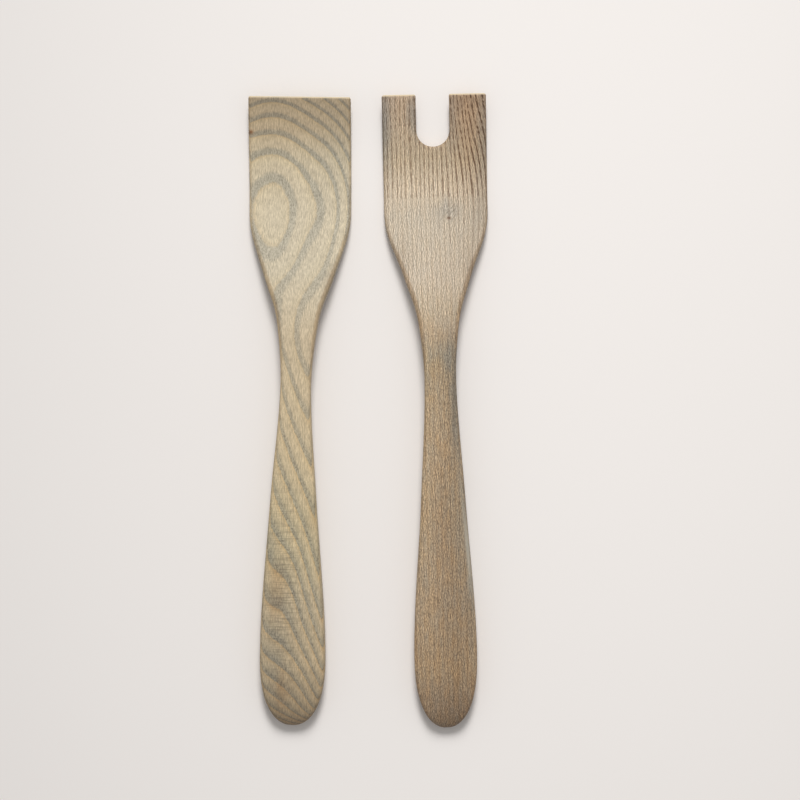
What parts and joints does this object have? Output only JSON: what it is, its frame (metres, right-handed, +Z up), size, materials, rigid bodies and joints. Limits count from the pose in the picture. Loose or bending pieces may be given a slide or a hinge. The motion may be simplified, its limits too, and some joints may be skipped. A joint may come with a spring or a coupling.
{
  "type": "salad servers",
  "caption": "Carved wooden salad servers for tossing and serving: scooped straight-edged blade, matching notched blade, thin necks and swelling round-ended handles.",
  "frame": {"origin": "middle of the pair's footprint, on the table they lie on", "axes": "+Y along the servers towards the blades' tips, +X from the plain server to the notched one, +Z up from the table"},
  "size_m": [0.1214, 0.322, 0.0143],
  "materials": {
    "flat_sawn_ash": "greyed ash, oiled matt",
    "quarter_sawn_ash": "greyed ash, oiled matt"
  },
  "bodies": {
    "plain_server": {"plain_server": "flat_sawn_ash"},
    "notched_server": {"notched_server": "quarter_sawn_ash"}
  },
  "joints": [
    {"name": "notched_server_lift", "type": "slide", "parent": "plain_server", "child": "notched_server", "axis": [0, 0, 1], "range_m": [0, 0.15]}
  ]
}
